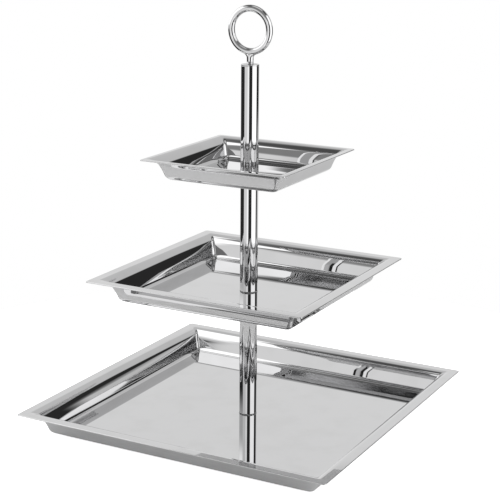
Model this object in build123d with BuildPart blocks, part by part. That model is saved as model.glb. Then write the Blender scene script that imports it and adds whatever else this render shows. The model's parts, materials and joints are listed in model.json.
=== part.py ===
from build123d import *
from math import atan2, cos, radians, sin, sqrt, tan
import os

# Tiered serving stand: three square pressed trays clamped between the screwed tubes of one central post,
# with a ring handle on top. Millimetres, +Z up, the post on the Z axis, the table at Z = 0.

# Trays, pressed from polished sheet: a rim's width runs from its edge to the line of the slanted wall
sheet = 1.0
lower_side = 300.0
middle_side = 210.0
upper_side = 140.0
lower_depth = 21.0
middle_depth = 21.0
upper_depth = 19.0
lower_rim = 13.5
middle_rim = 14.0
upper_rim = 10.0
dish_corner = 2.5
rim_corner = 2.5
rim_edge = 0.4
wall_angle = 69.0
bend_radius = 9.0
floor_radius = 5.0

# Post tubes and the plugs bonded into their ends
tube_diameter = 16.0
tube_wall = 1.0
tube_chamfer = 0.3
lower_tube_length = 114.2
middle_tube_length = 104.5
upper_tube_length = 95.3
plug_length = 12.0
plug_chamfer = 0.5
glue_groove_width = 3.0
glue_groove_depth = 0.5
bond_gap = 0.05
cap_thickness = 1.0
cap_chamfer = 0.3

# Screwed joints of the post
thread_diameter = 6.0
thread_reach = 9.0
thread_fit = 0.05
thread_tip = 0.6
stud_clearance = 0.25
washer_thickness = 0.8

# Base screw, washer and feet under the lower tray
screw_head_diameter = 13.0
screw_head_height = 2.2
screw_head_round = 1.0
screw_socket_width = 4.0
screw_socket_depth = 1.5
base_washer_diameter = 18.0
base_washer_thickness = 1.0
foot_diameter = 11.0
foot_height = 4.5
foot_taper = 8.0
foot_round = 1.0
foot_inset = 20.0

# Ring handle, its stem and the stud that screws it into the cap
ring_wire = 6.0
ring_inner_diameter = 31.0
stem_diameter = 6.0
stem_length = 8.0
stem_chamfer = 0.3
flare_radius = 4.0
flare_sections = 4
flare_tuck = 0.45
handle_thread_diameter = 4.0
handle_thread_reach = 9.0
handle_thread_in_stem = 6.0
handle_thread_tip = 0.4

# Diameters that follow from the sizes above
plug_diameter = tube_diameter - 2 * tube_wall - 2 * bond_gap
thread_bore = thread_diameter + 2 * thread_fit
handle_bore = handle_thread_diameter + 2 * thread_fit
stud_hole = thread_diameter + 2 * stud_clearance
ring_radius = (ring_inner_diameter + ring_wire) / 2

# Heights up the stack
lower_floor = foot_height
lower_tube_foot = lower_floor + sheet + washer_thickness
lower_tube_top = lower_tube_foot + lower_tube_length
middle_floor = lower_tube_top + washer_thickness
middle_tube_foot = middle_floor + sheet + washer_thickness
middle_tube_top = middle_tube_foot + middle_tube_length
upper_floor = middle_tube_top + washer_thickness
upper_tube_foot = upper_floor + sheet + washer_thickness
upper_tube_top = upper_tube_foot + upper_tube_length
cap_top = upper_tube_top + cap_thickness
screw_head_top = lower_floor - base_washer_thickness
ring_centre = cap_top + stem_length + ring_wire + ring_inner_diameter / 2

os.makedirs("parts", exist_ok=True)


def write(piece, label):
    """Label a finished piece and write it to its own file."""
    piece.part.label = label
    export_step(piece.part, f"parts/{label}.step")


def floor_width(side, rim, depth):
    """Width of a tray's floor, between the lines of its slanted walls."""
    return side - 2 * rim - 2 * (depth - sheet) / tan(radians(wall_angle))


def pressing_form(floor, floor_z, mouth, rim_z, width, top_z, bends, corner):
    """Solid under or over a pressed tray: one section run both ways, so that the walls meet in mitres."""
    with BuildPart() as form:
        for plane, mode in ((Plane.XZ, Mode.ADD), (Plane.YZ, Mode.INTERSECT)):
            with BuildSketch(plane):
                with BuildLine():
                    FilletPolyline((0, floor_z), (floor / 2, floor_z), (mouth / 2, rim_z), (width / 2, rim_z),
                                   radius=bends)
                    Polyline((width / 2, rim_z), (width / 2, top_z), (0, top_z), (0, floor_z))
                make_face()
                mirror(about=Plane.YZ)
            extrude(amount=width / 2, both=True, mode=mode)
        mitres = form.edges().filter_by(GeomType.LINE)
        for axis in (Axis.X, Axis.Y, Axis.Z):
            mitres = mitres.filter_by(axis, reverse=True)
        fillet(mitres, corner)
    return form.part


def make_tray(label, side, rim, depth, floor_z):
    """Pressed tray of even thickness: flat rim, rolled bend, slanted walls and a flat floor."""
    rim_z = floor_z + depth
    mouth = side - 2 * rim
    floor = floor_width(side, rim, depth)
    skin = 2 * sheet * tan(radians(wall_angle / 2))
    outside = pressing_form(floor + skin, floor_z, mouth + skin, rim_z - sheet, side, rim_z + sheet,
                            (floor_radius + sheet, bend_radius), dish_corner + sheet)
    inside = pressing_form(floor, floor_z + sheet, mouth, rim_z, side + 2 * sheet, rim_z + 2 * sheet,
                           (floor_radius, bend_radius + sheet), dish_corner)
    with BuildPart() as tray:
        add(outside)
        add(inside, mode=Mode.SUBTRACT)
        # Rim corners, and the sheared edge polished round
        fillet(tray.edges().filter_by(Axis.Z), rim_corner)
        underside, top = tray.faces().filter_by(Plane.XY).sort_by(Axis.Z)[-2:]
        fillet(underside.outer_wire().edges() + top.outer_wire().edges(), rim_edge)
        with Locations((0, 0, floor_z + sheet)):
            Hole(stud_hole / 2)
    write(tray, label)


def make_tube(label, foot_z, length):
    """Post tube with its outer ends broken by a small chamfer."""
    with BuildPart() as tube:
        with BuildSketch(Plane.XY.offset(foot_z)):
            Circle(tube_diameter / 2)
            Circle(tube_diameter / 2 - tube_wall, mode=Mode.SUBTRACT)
        extrude(amount=length)
        chamfer(tube.edges().filter_by(GeomType.CIRCLE).sort_by(SortBy.RADIUS)[-2:], tube_chamfer)
    write(tube, label)


def make_plug(label, foot_z):
    """Threaded plug for a tube's end, with a groove round its middle for the bond."""
    groove_z = foot_z + (plug_length - glue_groove_width) / 2
    with BuildPart() as plug:
        with BuildSketch(Plane.XY.offset(foot_z)):
            Circle(plug_diameter / 2)
            Circle(thread_bore / 2, mode=Mode.SUBTRACT)
        extrude(amount=plug_length)
        chamfer(plug.edges().filter_by(GeomType.CIRCLE).sort_by(SortBy.RADIUS)[-2:], plug_chamfer)
        with BuildSketch(Plane.XY.offset(groove_z)):
            Circle(plug_diameter / 2)
            Circle(plug_diameter / 2 - glue_groove_depth, mode=Mode.SUBTRACT)
        extrude(amount=glue_groove_width, mode=Mode.SUBTRACT)
    write(plug, label)


def make_stud(label, foot_z, length, diameter, tip):
    """Headless stud with both ends chamfered."""
    with BuildPart() as stud:
        with BuildSketch(Plane.XY.offset(foot_z)):
            Circle(diameter / 2)
        extrude(amount=length)
        chamfer(stud.edges().filter_by(GeomType.CIRCLE), tip)
    write(stud, label)


def make_washer(label, foot_z, diameter, thickness):
    """Flat washer round the thread."""
    with BuildPart() as washer:
        with BuildSketch(Plane.XY.offset(foot_z)):
            Circle(diameter / 2)
            Circle(stud_hole / 2, mode=Mode.SUBTRACT)
        extrude(amount=thickness)
    write(washer, label)


# Trays
make_tray("lower_tray", lower_side, lower_rim, lower_depth, lower_floor)
make_tray("middle_tray", middle_side, middle_rim, middle_depth, middle_floor)
make_tray("upper_tray", upper_side, upper_rim, upper_depth, upper_floor)

# Post tubes with their plugs
make_tube("lower_tube", lower_tube_foot, lower_tube_length)
make_tube("middle_tube", middle_tube_foot, middle_tube_length)
make_tube("upper_tube", upper_tube_foot, upper_tube_length)
make_plug("lower_tube_foot_plug", lower_tube_foot)
make_plug("lower_tube_top_plug", lower_tube_top - plug_length)
make_plug("middle_tube_foot_plug", middle_tube_foot)
make_plug("middle_tube_top_plug", middle_tube_top - plug_length)
make_plug("upper_tube_foot_plug", upper_tube_foot)

# Studs bonded into the foot of a tube, reaching down through the tray into the tube below
stud_length = plug_length + 2 * washer_thickness + sheet + thread_reach
make_stud("middle_stud", lower_tube_top - thread_reach, stud_length, thread_diameter, thread_tip)
make_stud("upper_stud", middle_tube_top - thread_reach, stud_length, thread_diameter, thread_tip)

# Thin plastic washers above and below the clamped trays
make_washer("lower_post_washer", lower_floor + sheet, tube_diameter, washer_thickness)
make_washer("middle_tray_washer", lower_tube_top, tube_diameter, washer_thickness)
make_washer("middle_post_washer", middle_floor + sheet, tube_diameter, washer_thickness)
make_washer("upper_tray_washer", middle_tube_top, tube_diameter, washer_thickness)
make_washer("upper_post_washer", upper_floor + sheet, tube_diameter, washer_thickness)
make_washer("base_washer", screw_head_top, base_washer_diameter, base_washer_thickness)

# Low-head screw up through the lower tray into the foot of the post
with BuildPart() as base_screw:
    with BuildSketch(Plane.XY.offset(screw_head_top)):
        Circle(screw_head_diameter / 2)
    extrude(amount=-screw_head_height)
    fillet(base_screw.edges().sort_by(Axis.Z)[0], screw_head_round)
    with BuildSketch(Plane.XY.offset(screw_head_top - screw_head_height)):
        RegularPolygon(screw_socket_width / 2, 6, major_radius=False)
    extrude(amount=screw_socket_depth, mode=Mode.SUBTRACT)
    with BuildSketch(Plane.XY.offset(screw_head_top)):
        Circle(thread_diameter / 2)
    extrude(amount=lower_tube_foot + thread_reach - screw_head_top)
    chamfer(base_screw.edges().sort_by(Axis.Z)[-1], thread_tip)
write(base_screw, "base_screw")

# Four bumper feet under the floor of the lower tray
foot_spacing = floor_width(lower_side, lower_rim, lower_depth) - 2 * foot_inset
with BuildPart() as rubber_feet:
    with BuildSketch(Plane.XY.offset(foot_height)):
        with GridLocations(foot_spacing, foot_spacing, 2, 2):
            Circle(foot_diameter / 2)
    extrude(amount=-foot_height, taper=foot_taper)
    fillet(rubber_feet.edges().group_by(Axis.Z)[0], foot_round)
write(rubber_feet, "rubber_feet")

# Flat cap that closes the top of the post, on a plug with the handle's thread
with BuildPart() as upper_tube_cap:
    with BuildSketch(Plane.XY.offset(upper_tube_top)):
        Circle(tube_diameter / 2)
    extrude(amount=cap_thickness)
    chamfer(upper_tube_cap.edges().sort_by(Axis.Z)[-1], cap_chamfer)
    with BuildSketch(Plane.XY.offset(upper_tube_top)):
        Circle(plug_diameter / 2)
    extrude(amount=-plug_length)
    chamfer(upper_tube_cap.edges().sort_by(Axis.Z)[0], plug_chamfer)
    with Locations((0, 0, cap_top)):
        Hole(handle_bore / 2)
write(upper_tube_cap, "upper_tube_cap")

# Ring handle: a round-section ring whose stem flares into it by an arc tangent to both
flare_x = stem_diameter / 2 + flare_radius
flare_reach = ring_radius + ring_wire / 2 + flare_radius
flare_z = ring_centre - sqrt(flare_reach**2 - flare_x**2)
flare_angle = atan2(ring_centre - flare_z, flare_x)
with BuildPart() as ring_handle:
    with BuildSketch(Plane.XY.offset(cap_top)):
        Circle(stem_diameter / 2)
    extrude(amount=flare_z - cap_top)
    chamfer(ring_handle.edges().sort_by(Axis.Z)[0], stem_chamfer)
    for section in range(flare_sections + 1):
        angle = flare_angle * section / flare_sections
        with BuildSketch(Plane.XY.offset(flare_z + flare_radius * sin(angle))):
            Ellipse(flare_x - flare_radius * cos(angle), stem_diameter / 2)
    with BuildSketch(Plane.XY.offset(ring_centre - ring_radius)):
        Ellipse(flare_x, ring_wire / 2 - flare_tuck)
    loft()
    with BuildSketch(Plane.XY.offset(ring_centre)):
        with Locations((ring_radius, 0)):
            Circle(ring_wire / 2)
    revolve(axis=Axis((0, 0, ring_centre), (0, 1, 0)))
    with BuildSketch(Plane.XY.offset(cap_top)):
        Circle(handle_bore / 2)
    extrude(amount=handle_thread_in_stem, mode=Mode.SUBTRACT)
write(ring_handle, "ring_handle")
make_stud("handle_stud", cap_top - handle_thread_reach, handle_thread_reach + handle_thread_in_stem,
          handle_thread_diameter, handle_thread_tip)
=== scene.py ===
import json
from math import acos, atan2, cos, pi, radians, sin, sqrt, tan

import bmesh
import bpy
from mathutils import Euler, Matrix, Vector


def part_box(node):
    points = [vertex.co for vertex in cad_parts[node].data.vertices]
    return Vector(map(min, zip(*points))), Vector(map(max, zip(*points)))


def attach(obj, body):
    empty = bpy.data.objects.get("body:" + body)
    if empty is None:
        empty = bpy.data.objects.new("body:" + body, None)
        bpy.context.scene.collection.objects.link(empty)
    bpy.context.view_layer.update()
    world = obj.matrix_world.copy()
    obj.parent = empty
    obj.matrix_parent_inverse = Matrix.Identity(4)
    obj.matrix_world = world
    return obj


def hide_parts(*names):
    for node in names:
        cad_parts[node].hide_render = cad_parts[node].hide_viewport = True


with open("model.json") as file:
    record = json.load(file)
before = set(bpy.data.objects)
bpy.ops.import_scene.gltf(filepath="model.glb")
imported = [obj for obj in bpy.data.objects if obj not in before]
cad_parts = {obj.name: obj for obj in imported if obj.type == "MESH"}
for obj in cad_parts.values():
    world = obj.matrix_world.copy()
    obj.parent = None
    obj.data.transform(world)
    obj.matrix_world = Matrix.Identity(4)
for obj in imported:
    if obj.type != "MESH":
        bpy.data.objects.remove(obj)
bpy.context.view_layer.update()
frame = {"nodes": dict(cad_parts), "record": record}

bl_info = {
    "name": "Tiered Serving Stand",
    "version": (1, 0, 0),
    "blender": (4, 5, 0),
    "location": "View3D > Sidebar > Stand",
    "description": "Dresses the pieces of a three-tier serving stand in polished steel and lights them",
    "category": "Object",
}

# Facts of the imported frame
BODY_OF = {node: body for body, nodes in frame["record"]["behaviour"]["bodies"].items() for node in nodes}
MM = 0.001
MICRON = 0.001 * MM

# Pieces of one kind
TIERS = ("lower", "middle", "upper")
PLUGS = ("lower_tube_foot_plug", "lower_tube_top_plug", "middle_tube_foot_plug", "middle_tube_top_plug",
         "upper_tube_foot_plug")
PLASTIC_WASHERS = ("lower_post_washer", "middle_tray_washer", "middle_post_washer", "upper_tray_washer",
                   "upper_post_washer")

# Fineness of the meshes
TURNED_STEPS = 144
ARC_STEPS = 8
TRAY_BEND_STEPS = 14
TRAY_CORNER_STEPS = 10
THREAD_COLUMNS = 40
THREAD_ROWS_PER_PITCH = 8
RING_STEPS = 192
RING_WIRE_STEPS = 72
FLARE_STEPS = 10
DOME_STEPS = 48
MERGE_DISTANCE = 1e-6
SCREW_HEAD_CREASE = radians(40)
RING_CREASE = radians(50)

# Room between a stud and the hole that it passes through
STUD_CLEARANCE = 0.25 * MM

# Metric thread, in pitches: depth, flat at the root and run of the flanks
THREAD_DEPTH = 0.6134
THREAD_ROOT = 0.125
THREAD_FLANKS = 0.75

# Satin underside of the trays: added roughness, and heights above the underside between which it ends
SATIN = 0.16
SATIN_END = (0.2 * MM, 0.6 * MM)

# How far the rounding at the hole and at the rim's edge reaches across a tray, in its radii
HOLE_ROUND_REACH = 1.5
RIM_ROUND_REACH = 3.0

# Where the face of the screw's head starts, in half widths of its socket
HEAD_FACE_START = 1.5

# Width of the camera's sensor, in millimetres
SENSOR_WIDTH = 36.0

# Heights between which the dome darkens to its ceiling, in degrees
CEILING = (45.0, 65.0)

# Soft edge of every panel, in degrees
PANEL_EDGE = 2.0

# Panels of the studio: bearing from left to right and height from low to high, in degrees, and brightness.
# The bearings follow the stripes that a round post shows.
PANELS = (
    # Bright back wall, on both sides of the seam behind the stand
    (-190.0, -150.0, -60.0, 20.0, 0.9),
    (150.0, 190.0, -60.0, 20.0, 0.9),
    # Dark flag on the left, with a soft box as wide above it
    (-145.0, -70.0, -60.0, 10.0, 0.03),
    (-145.0, -70.0, 15.0, 55.0, 1.7),
    # Pale wall on the left, brighter beside the camera
    (-70.0, -30.0, -60.0, 30.0, 0.95),
    (-30.0, -10.0, -60.0, 30.0, 1.4),
    # Dark camera side, with grey above it and above the pale wall
    (-10.0, 30.0, -60.0, 30.0, 0.03),
    (-70.0, 30.0, 30.0, 70.0, 0.3),
    # Tall soft box on the right, and dark flags behind it: one from the floor up, one hung clear of it
    (30.0, 90.0, -60.0, 60.0, 1.7),
    (90.0, 115.0, -60.0, 25.0, 0.03),
    (110.0, 135.0, 0.0, 25.0, 0.03),
    # Panel overhead
    (-190.0, 190.0, 75.0, 95.0, 0.85),
)


# Node trees written as expressions

class Signal:
    """A socket of a node tree. Arithmetic on it adds Math nodes."""

    def __init__(self, page, socket):
        self.page = page
        self.socket = socket

    def of(self, output):
        """Another output of the same node."""
        return Signal(self.page, self.page.find(self.socket.node.outputs, output))

    def math(self, operation, *others):
        inputs = dict(enumerate((self, *others)))
        return self.page.add("ShaderNodeMath", {"operation": operation}, inputs)

    def __add__(self, other):
        return self.math("ADD", other)

    def __radd__(self, other):
        return self.math("ADD", other)

    def __sub__(self, other):
        return self.math("SUBTRACT", other)

    def __rsub__(self, other):
        return self.page.add("ShaderNodeMath", {"operation": "SUBTRACT"}, {0: other, 1: self})

    def __mul__(self, other):
        return self.math("MULTIPLY", other)

    def __rmul__(self, other):
        return self.math("MULTIPLY", other)

    def __truediv__(self, other):
        return self.math("DIVIDE", other)

    def __mod__(self, other):
        return self.math("FLOORED_MODULO", other)

    def __lt__(self, other):
        return self.math("LESS_THAN", other)

    def __gt__(self, other):
        return self.math("GREATER_THAN", other)

    def step(self, low, high):
        """0 below low, 1 above high and a smooth rise between them."""
        ends = {"Value": self, "From Min": low, "From Max": high}
        return self.page.add("ShaderNodeMapRange", {"interpolation_type": "SMOOTHSTEP"}, ends)


class Page:
    """A node tree that expressions write on."""

    def __init__(self, tree):
        self.tree = tree

    @staticmethod
    def find(sockets, key):
        """A socket by its place, or the first one in use by its name."""
        if isinstance(key, int):
            return sockets[key]
        return next(socket for socket in sockets if socket.name == key and socket.enabled)

    def add(self, kind, settings=None, inputs=None):
        """Add a node, set its settings, then give its sockets their values or links."""
        node = self.tree.nodes.new(kind)
        for name, setting in (settings or {}).items():
            if name == "items":
                for _ in range(setting - len(node.index_switch_items)):
                    node.index_switch_items.new()
            else:
                setattr(node, name, setting)
        for key, value in (inputs or {}).items():
            socket = self.find(node.inputs, key)
            if isinstance(value, Signal):
                self.tree.links.new(value.socket, socket)
            else:
                socket.default_value = value
        shown = [socket for socket in node.outputs if socket.enabled]
        return Signal(self, shown[0]) if shown else None

    def vector(self, x, y, z):
        return self.add("ShaderNodeCombineXYZ", None, {"X": x, "Y": y, "Z": z})

    def tint(self, factor, low, high):
        """A colour between two, by a factor."""
        colours = {"Factor": factor, "A": (*low, 1.0), "B": (*high, 1.0)}
        return self.add("ShaderNodeMix", {"data_type": "RGBA"}, colours)


# Sizes and colours that a user may change

def length(name, description, millimetres):
    return bpy.props.FloatProperty(name=name, description=description, default=millimetres * MM, min=0.0,
                                   precision=5, unit="LENGTH", subtype="DISTANCE")


def shade(name, description, colour):
    return bpy.props.FloatVectorProperty(name=name, description=description, default=colour, size=3, min=0.0,
                                         max=1.0, subtype="COLOR")


def share(name, description, value):
    return bpy.props.FloatProperty(name=name, description=description, default=value, min=0.0, soft_max=1.0,
                                   subtype="FACTOR")


def angle(name, description, degrees):
    return bpy.props.FloatProperty(name=name, description=description, default=radians(degrees),
                                   unit="ROTATION", subtype="ANGLE")


class StandTraySizes(bpy.types.PropertyGroup):
    """Sizes of the pressed trays."""
    sheet: length("Sheet", "Thickness of the sheet", 1.0)
    lower_rim: length("Lower Rim", "Width of the lower rim, from its edge to the line of the wall", 13.5)
    middle_rim: length("Middle Rim", "Width of the middle rim, from its edge to the line of the wall", 14.0)
    upper_rim: length("Upper Rim", "Width of the upper rim, from its edge to the line of the wall", 10.0)
    wall_angle: angle("Wall Angle", "Slope of the walls above the floor", 69.0)
    bend_radius: length("Bend Radius", "Radius under the bend from wall to rim", 9.0)
    floor_radius: length("Floor Radius", "Radius inside the bend from floor to wall", 5.0)
    wall_bow: length("Wall Bow", "How far the walls bulge inwards at half their height", 0.5)
    bow_radius: length("Bow Radius", "Radius of the bulge at half the walls' height", 50.0)
    corner: length("Corner", "Radius inside the corner where two walls meet", 2.5)
    edge_radius: length("Edge Radius", "Rounding of the polished rim edge", 0.4)
    hole: length("Hole", "Radius of the hole for the stud", 3.25)
    hole_edge: length("Hole Edge", "Rounding of the hole's edge", 0.15)


class StandPostSizes(bpy.types.PropertyGroup):
    """Sizes of the post, its plugs and its threads."""
    tube_wall: length("Tube Wall", "Wall of the tubes", 1.0)
    tube_break: length("Tube Break", "Break of the tubes' outer end edges", 0.3)
    plug_break: length("Plug Break", "Chamfer of the plugs", 0.5)
    glue_groove_width: length("Groove Width", "Width of the groove for the bond", 3.0)
    glue_groove_depth: length("Groove Depth", "Depth of the groove for the bond", 0.5)
    tapped_bore: length("Tapped Bore", "Radius of the tapped bores in the plugs", 3.05)
    handle_bore: length("Handle Bore", "Radius of the tapped bores for the handle's stud", 2.05)
    cap_thickness: length("Cap Thickness", "Thickness of the cap above the tube", 1.0)
    cap_break: length("Cap Break", "Break of the cap's edge", 0.3)
    edge_break: length("Edge Break", "Rounding of the other edges", 0.12)
    pitch: length("Pitch", "Pitch of the post's threads", 1.0)
    handle_pitch: length("Handle Pitch", "Pitch of the handle's thread", 0.7)
    thread_tip: length("Thread Tip", "Chamfer at the ends of the studs", 0.6)
    head_height: length("Head Height", "Height of the base screw's head", 2.2)
    head_round: length("Head Round", "Rounding of the base screw's head", 1.0)
    socket_width: length("Socket Width", "Width across the flats of the base screw's socket", 4.0)
    socket_depth: length("Socket Depth", "Depth of the base screw's socket", 1.5)
    foot_taper: angle("Foot Taper", "Taper of the feet", 8.0)
    foot_round: length("Foot Round", "Rounding of the feet", 1.0)


class StandHandleSizes(bpy.types.PropertyGroup):
    """Sizes of the ring handle."""
    wire: length("Wire", "Diameter of the ring's wire", 6.0)
    stem_length: length("Stem Length", "Height of the stem up to the ring", 8.0)
    stem_break: length("Stem Break", "Break of the stem's foot", 0.3)
    flare_radius: length("Flare Radius", "Radius of the flare from stem to ring", 4.0)
    flare_tuck: length("Flare Tuck", "How far the flare's end hides in the ring", 0.45)
    bore_depth: length("Bore Depth", "Depth of the bore for the stud", 6.0)


class StandColours(bpy.types.PropertyGroup):
    """Colours of the finishes."""
    steel: shade("Steel", "Polished steel", (0.66, 0.66, 0.665))
    steel_film: shade("Steel Film", "Polished steel under a trace of handling", (0.63, 0.63, 0.632))
    aluminium: shade("Aluminium", "Turned aluminium of the plugs", (0.78, 0.78, 0.79))
    aluminium_dark: shade("Aluminium Groove", "Turned aluminium in the tool marks", (0.62, 0.62, 0.63))
    plating: shade("Plating", "Bright plating of screw and studs", (0.60, 0.60, 0.59))
    plating_dark: shade("Plating Dull", "Plating where it has dulled", (0.46, 0.46, 0.45))
    plastic: shade("Plastic", "Clear plastic of the washers", (0.86, 0.87, 0.88))
    plastic_haze: shade("Plastic Haze", "Clear plastic where it is scuffed", (0.74, 0.75, 0.76))
    rubber: shade("Rubber", "Rubber of the feet", (0.035, 0.035, 0.037))
    rubber_dust: shade("Rubber Dust", "Dust on the rubber", (0.10, 0.10, 0.10))


class StandStudio(bpy.types.PropertyGroup):
    """Camera, floor and light."""
    camera_place: bpy.props.FloatVectorProperty(
        name="Camera Place", description="Where the camera stands", default=(0.5826, -1.0777, 0.4888), size=3,
        unit="LENGTH", subtype="TRANSLATION")
    camera_yaw: angle("Camera Yaw", "Turn of the camera from looking along +Y", 28.35)
    camera_pitch: angle("Camera Pitch", "How far the camera looks down", 15.01)
    camera_roll: angle("Camera Roll", "Roll of the camera", 0.4)
    camera_lens: bpy.props.FloatProperty(
        name="Lens", description="Focal length for the sensor's width", default=102.1, unit="CAMERA")
    floor_radius: length("Floor Radius", "Radius of the lit table that is the floor", 430.0)
    floor: shade("Floor", "Pale floor", (0.85, 0.85, 0.85))
    floor_glow: share("Floor Glow", "Light that shines up through the floor", 0.10)
    floor_lift: share("Floor Lift", "More light that lifts the floor to white for the camera", 0.8)
    dome_radius: length("Dome Radius", "Radius of the studio dome", 750.0)
    dome_centre: length("Dome Centre", "Height of the dome's centre above the floor", 150.0)
    dome_foot: angle("Dome Foot", "Height at which the dome ends, seen from its centre", -50.0)
    room: share("Room", "Brightness of the dome between its panels", 0.7)
    ceiling: share("Ceiling", "Brightness of the dome above its walls", 0.1)


# Meshes

def turned_rings(profile, steps=TURNED_STEPS):
    """Rings of points round the Z axis, one for each point of a profile of radius and height."""
    circle = [(cos(2 * pi * i / steps), sin(2 * pi * i / steps)) for i in range(steps)]
    return [[(radius * x, radius * y, height) for x, y in circle] for radius, height in profile]


def rounded(corners):
    """A profile through corners of (across, up, radius), with an arc of that radius at each inner corner."""
    points = [corners[0][:2]]
    for (ax, az, _), (bx, bz, radius), (cx, cz, _) in zip(corners, corners[1:], corners[2:]):
        back = Vector((ax - bx, az - bz)).normalized()
        on = Vector((cx - bx, cz - bz)).normalized()
        half = acos(max(-1.0, min(1.0, back.dot(on)))) / 2
        if radius == 0 or half > pi / 2 - 1e-4:
            points.append((bx, bz))
            continue
        corner = Vector((bx, bz))
        centre = corner + (back + on).normalized() * (radius / sin(half))
        start = corner + back * (radius / tan(half)) - centre
        turn = pi - 2 * half
        if start.x * on.y - start.y * on.x < 0:
            turn = -turn
        for i in range(ARC_STEPS + 1):
            a = turn * i / ARC_STEPS
            points.append((centre.x + start.x * cos(a) - start.y * sin(a),
                           centre.y + start.x * sin(a) + start.y * cos(a)))
    points.append(corners[-1][:2])
    return points


def ring_mesh(name, rings, looped=False):
    """Closed mesh over rings of points. A looped one joins its last ring to its first, others end in poles."""
    shape = bmesh.new()
    rows = [[shape.verts.new(point) for point in ring] for ring in rings]
    pairs = list(zip(rows, rows[1:]))
    if looped:
        pairs.append((rows[-1], rows[0]))
    for low, high in pairs:
        for i in range(len(low)):
            j = (i + 1) % len(low)
            shape.faces.new((low[i], low[j], high[j], high[i]))
    bmesh.ops.remove_doubles(shape, verts=shape.verts, dist=MERGE_DISTANCE)
    bmesh.ops.recalc_face_normals(shape, faces=shape.faces)
    for face in shape.faces:
        face.smooth = True
    mesh = bpy.data.meshes.new(name)
    shape.to_mesh(mesh)
    shape.free()
    return mesh


def settled(holder):
    """The mesh that an object's modifiers give, with the object removed."""
    graph = bpy.context.evaluated_depsgraph_get()
    mesh = bpy.data.meshes.new_from_object(holder.evaluated_get(graph), depsgraph=graph)
    bpy.data.objects.remove(holder)
    return mesh


def new_object(name, mesh):
    piece = bpy.data.objects.new(name, mesh)
    bpy.context.scene.collection.objects.link(piece)
    return piece


def face_weighted(name, mesh):
    """The mesh with normals that stay true on its flat faces."""
    holder = new_object(name, mesh)
    holder.modifiers.new("Flat faces first", "WEIGHTED_NORMAL").keep_sharp = True
    return settled(holder)


def grown(name, fill, sizes, material):
    """A mesh from a Geometry Nodes tree that fill writes, with named sizes as its inputs."""
    tree = bpy.data.node_groups.new(name, "GeometryNodeTree")
    tree.interface.new_socket("Geometry", in_out="OUTPUT", socket_type="NodeSocketGeometry")
    sockets = {}
    for size in sizes:
        sockets[size] = tree.interface.new_socket(size, in_out="INPUT", socket_type="NodeSocketFloat")
    page = Page(tree)
    entry = page.add("NodeGroupInput")
    shape = fill(page, {size: entry.of(size) for size in sizes})
    shape = page.add("GeometryNodeRealizeInstances", None, {"Geometry": shape})
    shape = page.add("GeometryNodeSetMaterial", None, {"Geometry": shape, "Material": material})
    page.add("NodeGroupOutput", None, {"Geometry": shape})
    holder = new_object(name, bpy.data.meshes.new(name))
    modifier = holder.modifiers.new(name, "NODES")
    modifier.node_group = tree
    for size, value in sizes.items():
        modifier[sockets[size].identifier] = value
    holder.modifiers.new("Flat faces first", "WEIGHTED_NORMAL").keep_sharp = True
    return settled(holder)


def rule_surface(page, columns, rows, place):
    """A sheet of columns by rows whose points follow a rule, with its seams and poles closed."""
    grid = page.add("GeometryNodeMeshGrid", None, {"Vertices X": columns, "Vertices Y": rows})
    index = page.add("GeometryNodeInputIndex")
    column = (index / rows).math("FLOOR")
    row = index % rows
    shape = page.add("GeometryNodeSetPosition", None, {"Geometry": grid, "Position": place(column, row)})
    shape = page.add("GeometryNodeMergeByDistance", None, {"Geometry": shape, "Distance": MERGE_DISTANCE})
    return page.add("GeometryNodeSetShadeSmooth", None, {"Geometry": shape})


def dress(node, mesh, material):
    """Stand a finished mesh in a node's place, on its body and in its slot."""
    mesh.materials.clear()
    mesh.materials.append(material)
    piece = new_object(f"{node}_finish", mesh)
    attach(piece, BODY_OF[node])
    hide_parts(node)
    return piece


# Finishes

def finish(name):
    """A new, empty material and its page."""
    material = bpy.data.materials.get(name)
    if material:
        bpy.data.materials.remove(material)
    material = bpy.data.materials.new(name)
    material.use_nodes = True
    material.node_tree.nodes.clear()
    return material, Page(material.node_tree)


def close_finish(page, **inputs):
    """End a page in a Principled shader with these sockets."""
    names = {key.replace("_", " ").title().replace("Ior", "IOR"): value for key, value in inputs.items()}
    shader = page.add("ShaderNodeBsdfPrincipled", None, names)
    page.add("ShaderNodeOutputMaterial", None, {"Surface": shader})


def noise(page, place, scale, detail=2.0, stretch=(1.0, 1.0, 1.0)):
    """Even noise about one half, on object coordinates."""
    place = page.add("ShaderNodeMapping", None, {"Vector": place, "Scale": stretch})
    return page.add("ShaderNodeTexNoise", None, {"Vector": place, "Scale": scale, "Detail": detail})


def bump(page, height):
    """A normal from a height in metres."""
    return page.add("ShaderNodeBump", None, {"Strength": 1.0, "Distance": 1.0, "Height": height})


def object_place(page):
    return page.add("ShaderNodeTexCoord").of("Object")


def polished_steel(name, wave_length, wave_height, grain, underside=None):
    """Mirror-polished steel: a faint film of handling, fine polish lines and the sheet's slow waves.

    A face at the height of the underside is left satin.
    """
    colours = bpy.context.scene.stand_colours
    material, page = finish(name)
    place = object_place(page)
    film = noise(page, place, 38.0, 3.0).step(0.42, 0.72)
    lines = noise(page, place, 900.0, 2.0, grain)
    waves = noise(page, place, 1.0 / wave_length, 1.0)
    normal = bump(page, waves * wave_height)
    colour = page.tint(film * 0.8 + lines * 0.2, colours.steel, colours.steel_film)
    roughness = 0.006 + 0.012 * film + 0.008 * lines
    if underside is not None:
        height = page.add("ShaderNodeSeparateXYZ", None, {"Vector": place}).of("Z")
        start, end = SATIN_END
        roughness = roughness + SATIN * (1.0 - height.step(underside + start, underside + end))
    close_finish(page, base_color=colour, metallic=1.0, roughness=roughness, normal=normal)
    return material


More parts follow.
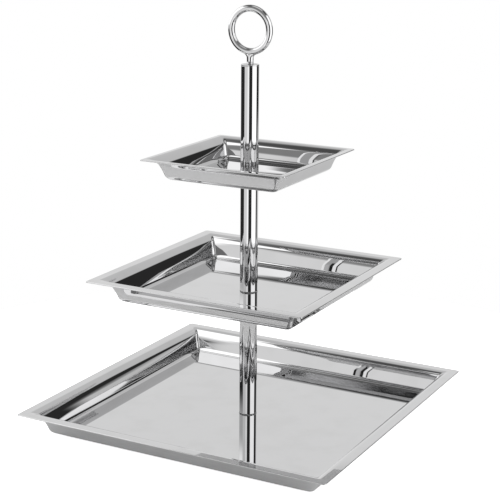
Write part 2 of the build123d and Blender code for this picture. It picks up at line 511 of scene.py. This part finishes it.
def turned_aluminium():
    """Aluminium with the rings that a lathe tool leaves."""
    colours = bpy.context.scene.stand_colours
    material, page = finish("turned_aluminium")
    place = object_place(page)
    marks = noise(page, place, 2600.0, 2.0, (0.04, 0.04, 1.0))
    stains = noise(page, place, 260.0, 3.0)
    colour = page.tint(marks * 0.7 + stains * 0.3, colours.aluminium_dark, colours.aluminium)
    normal = bump(page, marks * (6 * MICRON))
    close_finish(page, base_color=colour, metallic=1.0, roughness=0.24 + 0.16 * stains, normal=normal)
    return material


def plated_steel():
    """Bright plated steel that has dulled in patches."""
    colours = bpy.context.scene.stand_colours
    material, page = finish("plated_steel")
    place = object_place(page)
    dull = noise(page, place, 420.0, 4.0).step(0.40, 0.70)
    grit = noise(page, place, 4200.0, 2.0)
    colour = page.tint(dull, colours.plating, colours.plating_dark)
    normal = bump(page, grit * (3 * MICRON))
    close_finish(page, base_color=colour, metallic=1.0, roughness=0.16 + 0.16 * dull, normal=normal)
    return material


def clear_plastic():
    """Clear washer plastic, a little scuffed."""
    colours = bpy.context.scene.stand_colours
    material, page = finish("clear_plastic")
    place = object_place(page)
    scuffs = noise(page, place, 700.0, 3.0, (1.0, 1.0, 0.2)).step(0.45, 0.75)
    colour = page.tint(scuffs, colours.plastic, colours.plastic_haze)
    normal = bump(page, scuffs * (4 * MICRON))
    close_finish(page, base_color=colour, roughness=0.12 + 0.2 * scuffs, ior=1.49, transmission_weight=0.7,
                 normal=normal)
    return material


def foot_rubber():
    """Black rubber with a moulded grain and a little dust."""
    colours = bpy.context.scene.stand_colours
    material, page = finish("foot_rubber")
    place = object_place(page)
    grain = noise(page, place, 2400.0, 3.0)
    dust = noise(page, place, 240.0, 4.0).step(0.50, 0.80)
    colour = page.tint(dust, colours.rubber, colours.rubber_dust)
    normal = bump(page, grain * (30 * MICRON))
    close_finish(page, base_color=colour, roughness=0.62 + 0.2 * dust, specular_ior_level=0.35, normal=normal)
    return material


# Pieces

def tray_section(page, size):
    """Section of a pressed tray as a closed curve: across in X, up in Z."""
    slope = size["Wall Angle"].math("TANGENT")
    skin = size["Sheet"] * (size["Wall Angle"] / 2).math("TANGENT")
    side = size["Side"] / 2
    mouth = side - size["Rim"]
    floor = mouth - (size["Depth"] - size["Sheet"]) / slope
    base = size["Floor Height"]
    inside = base + size["Sheet"]
    rim = base + size["Depth"]
    under = rim - size["Sheet"]
    edge = size["Edge Radius"]
    hole_edge = size["Hole Edge"]
    halfway = (floor + mouth) / 2 - size["Wall Bow"] * size["Wall Angle"].math("SINE")
    raised = size["Wall Bow"] * size["Wall Angle"].math("COSINE")
    corners = (
        (size["Hole"], inside, hole_edge),
        (floor, inside, size["Floor Radius"]),
        (halfway, (inside + rim) / 2 + raised, size["Bow Radius"]),
        (mouth, rim, size["Bend Radius"] + size["Sheet"]),
        (side, rim, edge),
        (side, under, edge),
        (mouth + skin, under, size["Bend Radius"]),
        (halfway + skin, (base + under) / 2 + raised, size["Bow Radius"]),
        (floor + skin, base, size["Floor Radius"] + size["Sheet"]),
        (size["Hole"], base, hole_edge),
    )
    index = page.add("GeometryNodeInputIndex")
    count = len(corners)
    places = {"Index": index, **{str(i): page.vector(x, 0.0, z) for i, (x, z, _) in enumerate(corners)}}
    radii = {"Index": index, **{str(i): radius for i, (_, _, radius) in enumerate(corners)}}
    place = page.add("GeometryNodeIndexSwitch", {"data_type": "VECTOR", "items": count}, places)
    radius = page.add("GeometryNodeIndexSwitch", {"data_type": "FLOAT", "items": count}, radii)
    points = page.add("GeometryNodePoints", None, {"Count": count, "Position": place})
    curve = page.add("GeometryNodePointsToCurves", None, {"Points": points})
    curve = page.add("GeometryNodeSetSplineCyclic", None, {"Geometry": curve, "Cyclic": True})
    return page.add("GeometryNodeFilletCurve", {"mode": "POLY"},
                    {"Curve": curve, "Radius": radius, "Count": TRAY_BEND_STEPS})


def press_tray(page, size):
    """A section carried round a square: each point of it becomes a square ring with rounded corners."""
    section = tray_section(page, size)
    stations = page.add("GeometryNodeAttributeDomainSize", {"component": "CURVE"}, {"Geometry": section})
    position = page.add("GeometryNodeInputPosition")

    def place(column, row):
        station = page.add("GeometryNodeSampleIndex", {"data_type": "FLOAT_VECTOR"},
                           {"Geometry": section, "Value": position, "Index": row % stations})
        point = page.add("ShaderNodeSeparateXYZ", None, {"Vector": station})
        across = point.of("X")
        at_hole = across < size["Hole"] + size["Hole Edge"] * HOLE_ROUND_REACH
        within_rim = across < size["Side"] / 2 - size["Edge Radius"] * RIM_ROUND_REACH
        outside = (row % stations > stations / 2 - 0.5) * within_rim
        radius = at_hole * across + (1.0 - at_hole) * (size["Corner"] + size["Sheet"] * outside)
        quarter = (column / (TRAY_CORNER_STEPS + 1)).math("FLOOR")
        turn = (quarter + (column % (TRAY_CORNER_STEPS + 1)) / TRAY_CORNER_STEPS) * (pi / 2)
        diagonal = (quarter + 0.5) * (pi / 2)
        reach = (across - radius) * sqrt(2)
        return page.vector(reach * diagonal.math("COSINE") + radius * turn.math("COSINE"),
                           reach * diagonal.math("SINE") + radius * turn.math("SINE"), point.of("Z"))

    return rule_surface(page, 4 * (TRAY_CORNER_STEPS + 1) + 1, stations + 1, place)


def thread_stud(page, size):
    """A threaded rod with chamfered ends: the radius rises and falls once in each pitch, along a helix."""
    low, high, major, pitch, tip = (size[name] for name in ("Low", "High", "Radius", "Pitch", "Tip"))
    rows = ((high - low) / pitch * THREAD_ROWS_PER_PITCH).math("CEIL")

    def place(column, row):
        turn = column / THREAD_COLUMNS
        along = ((row - 1) / rows).math("MAXIMUM", 0.0).math("MINIMUM", 1.0)
        height = low + (high - low) * along
        wave = (height / pitch - turn).math("PINGPONG", 0.5) * 2.0
        crest = ((wave - THREAD_ROOT) / THREAD_FLANKS).math("MAXIMUM", 0.0).math("MINIMUM", 1.0)
        radius = major - THREAD_DEPTH * pitch * (1.0 - crest)
        nose = (height - low).math("MINIMUM", high - height) + major - tip
        radius = radius.math("MINIMUM", nose)
        inside = (row > 0.5) * (row < rows + 1.5)
        radius = radius * inside
        spin = turn * (2 * pi)
        return page.vector(radius * spin.math("COSINE"), radius * spin.math("SINE"), height)

    return rule_surface(page, THREAD_COLUMNS + 1, rows + 3, place)


def turned_loop(corners):
    """Profile of a ring-shaped turned piece: closed, with every corner rounded."""
    start = Vector(corners[0][:2]).lerp(Vector(corners[-1][:2]), 0.5)
    ends = [(*start, 0.0)]
    return rounded([*ends, *corners, *ends])[:-1]


class StandOperator:
    """What the operators of this panel share."""
    bl_options = {"REGISTER", "UNDO"}

    @property
    def post(self):
        return bpy.context.scene.stand_post


class STAND_OT_trays(StandOperator, bpy.types.Operator):
    """Press the three square trays from polished sheet"""
    bl_idname = "stand.trays"
    bl_label = "Press Trays"

    def execute(self, context):
        sizes = context.scene.stand_trays
        for tier in TIERS:
            node = f"{tier}_tray"
            low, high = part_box(node)
            steel = polished_steel(f"polished_{node}_steel", 30 * MM, 12 * MICRON, (1.0, 0.08, 1.0), low.z)
            inputs = {
                "Side": high.x - low.x, "Rim": getattr(sizes, f"{tier}_rim"), "Depth": high.z - low.z,
                "Floor Height": low.z, "Sheet": sizes.sheet, "Wall Angle": sizes.wall_angle,
                "Bend Radius": sizes.bend_radius, "Floor Radius": sizes.floor_radius,
                "Wall Bow": sizes.wall_bow, "Bow Radius": sizes.bow_radius, "Corner": sizes.corner,
                "Edge Radius": sizes.edge_radius, "Hole": sizes.hole, "Hole Edge": sizes.hole_edge,
            }
            dress(node, grown(f"{node}_pressing", press_tray, inputs, steel), steel)
        return {"FINISHED"}


class STAND_OT_tubes(StandOperator, bpy.types.Operator):
    """Cut the three tubes of the post and break their ends"""
    bl_idname = "stand.tubes"
    bl_label = "Cut Tubes"

    def execute(self, context):
        steel = polished_steel("polished_tube_steel", 45 * MM, 4 * MICRON, (1.0, 1.0, 0.05))
        for tier in TIERS:
            node = f"{tier}_tube"
            low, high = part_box(node)
            outer = high.x
            inner = outer - self.post.tube_wall
            soft = self.post.tube_break
            fine = self.post.edge_break
            profile = turned_loop([(outer, low.z, soft), (outer, high.z, soft), (inner, high.z, fine),
                                   (inner, low.z, fine)])
            mesh = ring_mesh(node, turned_rings(profile), looped=True)
            dress(node, face_weighted(node, mesh), steel)
        return {"FINISHED"}


class STAND_OT_plugs(StandOperator, bpy.types.Operator):
    """Turn the threaded plugs that are bonded into the tubes"""
    bl_idname = "stand.plugs"
    bl_label = "Turn Plugs"

    def execute(self, context):
        metal = turned_aluminium()
        for node in PLUGS:
            low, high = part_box(node)
            outer = high.x
            groove = outer - self.post.glue_groove_depth
            middle = (low.z + high.z) / 2
            half = self.post.glue_groove_width / 2
            soft = self.post.plug_break
            fine = self.post.edge_break
            bore = self.post.tapped_bore
            profile = turned_loop([
                (outer, low.z, soft), (outer, middle - half, fine), (groove, middle - half, fine),
                (groove, middle + half, fine), (outer, middle + half, fine), (outer, high.z, soft),
                (bore, high.z, fine), (bore, low.z, fine)])
            mesh = ring_mesh(node, turned_rings(profile), looped=True)
            dress(node, face_weighted(node, mesh), metal)
        return {"FINISHED"}


class STAND_OT_studs(StandOperator, bpy.types.Operator):
    """Thread the studs that join tube to tube and handle to cap"""
    bl_idname = "stand.studs"
    bl_label = "Thread Studs"

    def execute(self, context):
        plating = plated_steel()
        for node, pitch in (("middle_stud", self.post.pitch), ("upper_stud", self.post.pitch),
                            ("handle_stud", self.post.handle_pitch)):
            low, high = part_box(node)
            inputs = {"Low": low.z, "High": high.z, "Radius": high.x, "Pitch": pitch,
                      "Tip": self.post.thread_tip * pitch / self.post.pitch}
            dress(node, grown(f"{node}_thread", thread_stud, inputs, plating), plating)
        return {"FINISHED"}


class STAND_OT_washers(StandOperator, bpy.types.Operator):
    """Punch the thin plastic washers above and below the trays"""
    bl_idname = "stand.washers"
    bl_label = "Punch Washers"

    def execute(self, context):
        plastic = clear_plastic()
        for node in PLASTIC_WASHERS:
            dress(node, washer_mesh(node, context.scene.stand_trays.hole, self.post.edge_break), plastic)
        return {"FINISHED"}


def washer_mesh(node, bore, fine):
    """A flat washer that fills a node's box, with its edges rounded."""
    low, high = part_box(node)
    profile = turned_loop([(high.x, low.z, fine), (high.x, high.z, fine), (bore, high.z, fine),
                           (bore, low.z, fine)])
    return face_weighted(node, ring_mesh(node, turned_rings(profile), looped=True))


class STAND_OT_base_screw(StandOperator, bpy.types.Operator):
    """Make the low-head screw and washer under the lower tray"""
    bl_idname = "stand.base_screw"
    bl_label = "Make Base Screw"

    def execute(self, context):
        plating = plated_steel()
        hole = context.scene.stand_trays.hole
        dress("base_washer", washer_mesh("base_washer", hole, self.post.edge_break), plating)
        low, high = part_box("base_screw")
        shoulder = low.z + self.post.head_height
        head = new_object("base_screw_head", self.head_mesh(low.z, shoulder, high.x))
        inputs = {"Low": shoulder - self.post.pitch / 2, "High": high.z, "Radius": hole - STUD_CLEARANCE,
                  "Pitch": self.post.pitch, "Tip": self.post.thread_tip}
        thread = new_object("base_screw_thread", grown("base_screw_thread", thread_stud, inputs, plating))
        dress("base_screw", joined(head, thread), plating)
        return {"FINISHED"}

    def head_mesh(self, low, high, radius):
        """Round head with a hexagon socket in its underside."""
        half = self.post.socket_width / 2
        floor = low + self.post.socket_depth
        circle = turned_rings(rounded([
            (half * HEAD_FACE_START, low, 0.0), (radius, low, self.post.head_round),
            (radius, high, self.post.edge_break), (0.0, high, 0.0)]))
        hexagon = []
        for scale, height in ((0.0, floor), (1.0, floor), (1.0, low)):
            ring = []
            for i in range(TURNED_STEPS):
                turn = 2 * pi * i / TURNED_STEPS
                reach = scale * half / cos((turn + pi / 6) % (pi / 3) - pi / 6)
                ring.append((reach * cos(turn), reach * sin(turn), height))
            hexagon.append(ring)
        mesh = ring_mesh("base_screw_head", hexagon + circle)
        mesh.set_sharp_from_angle(angle=SCREW_HEAD_CREASE)
        return mesh


def joined(body, tool):
    """One closed mesh from two that overlap."""
    union = body.modifiers.new("Union", "BOOLEAN")
    union.operation = "UNION"
    union.solver = "EXACT"
    union.object = tool
    mesh = settled(body)
    bpy.data.objects.remove(tool)
    return mesh


class STAND_OT_feet(StandOperator, bpy.types.Operator):
    """Set the four rubber feet under the lower tray"""
    bl_idname = "stand.feet"
    bl_label = "Set Feet"

    def execute(self, context):
        rubber = foot_rubber()
        low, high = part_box("rubber_feet")
        radius = self.foot_radius()
        taper = (high.z - low.z) * tan(self.post.foot_taper)
        profile = rounded([(0.0, low.z, 0.0), (radius - taper, low.z, self.post.foot_round),
                           (radius, high.z, self.post.edge_break), (0.0, high.z, 0.0)])
        foot = new_object("rubber_foot", ring_mesh("rubber_foot", turned_rings(profile)))

        def set_feet(page, size):
            square = {"Size X": size["Spacing"], "Size Y": size["Spacing"], "Vertices X": 2, "Vertices Y": 2}
            places = page.add("GeometryNodeMeshGrid", None, square)
            shape = page.add("GeometryNodeObjectInfo", None, {"Object": foot})
            return page.add("GeometryNodeInstanceOnPoints", None,
                            {"Points": places, "Instance": shape.of("Geometry")})

        spacing = high.x - low.x - 2 * radius
        dress("rubber_feet", grown("rubber_feet_set", set_feet, {"Spacing": spacing}, rubber), rubber)
        bpy.data.objects.remove(foot)
        return {"FINISHED"}

    @staticmethod
    def foot_radius():
        """Radius of one foot at its top, from the points of the CAD feet on one side."""
        low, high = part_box("rubber_feet")
        across = [vertex.co.x for vertex in frame["nodes"]["rubber_feet"].data.vertices if vertex.co.x > 0]
        return (high.x - min(across)) / 2


class STAND_OT_cap(StandOperator, bpy.types.Operator):
    """Turn the cap that closes the top of the post"""
    bl_idname = "stand.cap"
    bl_label = "Turn Cap"

    def execute(self, context):
        steel = polished_steel("polished_cap_steel", 45 * MM, 2 * MICRON, (1.0, 1.0, 1.0))
        low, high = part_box("upper_tube_cap")
        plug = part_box(PLUGS[-1])[1].x
        shoulder = high.z - self.post.cap_thickness
        fine = self.post.edge_break
        bore = self.post.handle_bore
        profile = turned_loop([
            (plug, low.z, self.post.plug_break), (plug, shoulder, fine), (high.x, shoulder, fine),
            (high.x, high.z, self.post.cap_break), (bore, high.z, fine), (bore, low.z, fine)])
        mesh = ring_mesh("upper_tube_cap", turned_rings(profile), looped=True)
        dress("upper_tube_cap", face_weighted("upper_tube_cap", mesh), steel)
        return {"FINISHED"}


class STAND_OT_ring(StandOperator, bpy.types.Operator):
    """Bend the ring handle and flare its stem into it"""
    bl_idname = "stand.ring"
    bl_label = "Bend Ring"

    def execute(self, context):
        sizes = context.scene.stand_handle
        steel = polished_steel("polished_ring_steel", 20 * MM, 2 * MICRON, (1.0, 1.0, 1.0))
        low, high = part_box("ring_handle")
        wire = sizes.wire / 2
        radius = high.x - wire
        centre = high.z - high.x
        ring = new_object("ring_wire", self.ring_mesh(radius, wire, centre))
        stem = new_object("ring_stem", self.stem_mesh(sizes, radius, wire, centre, low.z))
        mesh = joined(ring, stem)
        mesh.set_sharp_from_angle(angle=RING_CREASE)
        dress("ring_handle", mesh, steel)
        return {"FINISHED"}

    @staticmethod
    def ring_mesh(radius, wire, centre):
        rings = []
        for i in range(RING_STEPS):
            around = 2 * pi * i / RING_STEPS
            ring = []
            for k in range(RING_WIRE_STEPS):
                turn = 2 * pi * k / RING_WIRE_STEPS
                reach = radius + wire * cos(turn)
                ring.append((reach * cos(around), wire * sin(turn), centre + reach * sin(around)))
            rings.append(ring)
        return ring_mesh("ring_wire", rings, looped=True)

    def stem_mesh(self, sizes, radius, wire, centre, foot):
        """Stem with its bore, widening along an arc that is tangent to the stem and to the ring."""
        across = wire + sizes.flare_radius
        reach = radius + wire + sizes.flare_radius
        start = centre - sqrt(reach ** 2 - across ** 2)
        sweep = atan2(centre - start, across)
        bore = self.post.handle_bore
        bore_end = foot + sizes.bore_depth
        toe = wire - sizes.stem_break
        sections = [(0.0, 0.0, bore_end), (bore, bore, bore_end), (bore, bore, foot), (toe, toe, foot),
                    (wire, wire, foot + sizes.stem_break)]
        for i in range(FLARE_STEPS + 1):
            turn = sweep * i / FLARE_STEPS
            wide = across - sizes.flare_radius * cos(turn)
            deep = wire - sizes.flare_tuck * (i / FLARE_STEPS) ** 2
            sections.append((wide, deep, start + sizes.flare_radius * sin(turn)))
        end = centre - radius
        sections += [(across, wire - sizes.flare_tuck, end), (0.0, 0.0, end)]
        rings = []
        for wide, deep, height in sections:
            turns = [2 * pi * k / RING_WIRE_STEPS for k in range(RING_WIRE_STEPS)]
            rings.append([(wide * cos(turn), deep * sin(turn), height) for turn in turns])
        return ring_mesh("ring_stem", rings)


class STAND_OT_stage(StandOperator, bpy.types.Operator):
    """Lay the pale floor, light the studio and set the camera"""
    bl_idname = "stand.stage"
    bl_label = "Set Stage"

    def execute(self, context):
        studio = context.scene.stand_studio
        context.scene.view_settings.view_transform = "Standard"
        self.lay_floor(studio)
        self.raise_dome(studio)
        self.whiten_background(context.scene)
        self.set_camera(context.scene, studio)
        return {"FINISHED"}

    @staticmethod
    def lay_floor(studio):
        """Pale floor, a table lit from below. For the camera it is lifted to white."""
        material, page = finish("pale_floor")
        mottle = noise(page, object_place(page), 3.0, 2.0)
        colour = page.tint(mottle, studio.floor, [part * 0.99 for part in studio.floor])
        paper = page.add("ShaderNodeBsdfDiffuse", None, {"Color": colour})
        seen = page.add("ShaderNodeLightPath").of("Is Camera Ray")
        strength = studio.floor_glow + studio.floor_lift * seen
        glow = page.add("ShaderNodeEmission", None, {"Color": (1.0, 1.0, 1.0, 1.0), "Strength": strength})
        page.add("ShaderNodeOutputMaterial", None,
                 {"Surface": page.add("ShaderNodeAddShader", None, {0: paper, 1: glow})})
        mesh = ring_mesh("pale_floor", turned_rings([(0.0, 0.0), (studio.floor_radius, 0.0)]))
        mesh.materials.append(material)
        new_object("pale_floor", mesh)

    @staticmethod
    def raise_dome(studio):
        """Dome of soft panels that light the stand, placed by bearing from the camera and by height."""
        material, page = finish("studio_dome")
        place = page.add("ShaderNodeVectorRotate", {"rotation_type": "Z_AXIS"},
                         {"Vector": object_place(page), "Angle": -studio.camera_yaw})
        part = page.add("ShaderNodeSeparateXYZ", None, {"Vector": place})
        bearing = part.of("X").math("ARCTAN2", 0.0 - part.of("Y")) * (180 / pi)
        height = ((part.of("Z") - studio.dome_centre) / studio.dome_radius).math("ARCSINE") * (180 / pi)
        light = studio.room + (studio.ceiling - studio.room) * height.step(*CEILING)
        for left, right, low, high, brightness in PANELS:
            mask = bearing.step(left - PANEL_EDGE, left + PANEL_EDGE)
            mask = mask * (1.0 - bearing.step(right - PANEL_EDGE, right + PANEL_EDGE))
            mask = mask * height.step(low - PANEL_EDGE, low + PANEL_EDGE)
            mask = mask * (1.0 - height.step(high - PANEL_EDGE, high + PANEL_EDGE))
            light = light + (brightness - light) * mask
        glow = page.add("ShaderNodeEmission", None, {"Color": light, "Strength": 1.0})
        page.add("ShaderNodeOutputMaterial", None, {"Surface": glow})
        low = studio.dome_foot
        turns = [low + (pi / 2 - low) * i / DOME_STEPS for i in range(DOME_STEPS + 1)]
        profile = [(studio.dome_radius * cos(turn), studio.dome_centre + studio.dome_radius * sin(turn))
                   for turn in turns]
        mesh = ring_mesh("studio_dome", turned_rings(profile))
        mesh.materials.append(material)
        dome = new_object("studio_dome", mesh)
        dome.visible_camera = False

    @staticmethod
    def whiten_background(scene):
        """Plain white behind the floor."""
        world = bpy.data.worlds.new("white_background")
        world.use_nodes = True
        world.node_tree.nodes.clear()
        scene.world = world
        page = Page(world.node_tree)
        white = page.add("ShaderNodeBackground", None, {"Color": (1.0, 1.0, 1.0, 1.0), "Strength": 1.0})
        page.add("ShaderNodeOutputWorld", None, {"Surface": white})

    @staticmethod
    def set_camera(scene, studio):
        lens = bpy.data.cameras.new("camera")
        lens.lens = studio.camera_lens
        lens.sensor_width = SENSOR_WIDTH
        camera = bpy.data.objects.new("camera", lens)
        scene.collection.objects.link(camera)
        camera.location = studio.camera_place
        turn = Euler((pi / 2 - studio.camera_pitch, 0.0, studio.camera_yaw)).to_matrix()
        camera.rotation_euler = (turn @ Euler((0.0, 0.0, studio.camera_roll)).to_matrix()).to_euler()
        scene.camera = camera


class STAND_PT_panel(bpy.types.Panel):
    """Steps that dress the stand, in order"""
    bl_idname = "STAND_PT_panel"
    bl_label = "Serving Stand"
    bl_space_type = "VIEW_3D"
    bl_region_type = "UI"
    bl_category = "Stand"

    def draw(self, context):
        for operator in OPERATORS:
            self.layout.operator(operator.bl_idname)
        for group in GROUPS:
            settings = getattr(context.scene, group)
            box = self.layout.box()
            for name in settings.__annotations__:
                box.prop(settings, name)


GROUPS = {
    "stand_trays": StandTraySizes,
    "stand_post": StandPostSizes,
    "stand_handle": StandHandleSizes,
    "stand_colours": StandColours,
    "stand_studio": StandStudio,
}
OPERATORS = (STAND_OT_trays, STAND_OT_tubes, STAND_OT_plugs, STAND_OT_studs, STAND_OT_washers,
             STAND_OT_base_screw, STAND_OT_feet, STAND_OT_cap, STAND_OT_ring, STAND_OT_stage)


def register():
    for kind in (*GROUPS.values(), *OPERATORS, STAND_PT_panel):
        bpy.utils.register_class(kind)
    for name, kind in GROUPS.items():
        setattr(bpy.types.Scene, name, bpy.props.PointerProperty(type=kind))


def unregister():
    for name in GROUPS:
        delattr(bpy.types.Scene, name)
    for kind in reversed((*GROUPS.values(), *OPERATORS, STAND_PT_panel)):
        bpy.utils.unregister_class(kind)


def main():
    register()
    for operator in OPERATORS:
        group, name = operator.bl_idname.split(".")
        getattr(getattr(bpy.ops, group), name)()


if __name__ == "__main__":
    main()
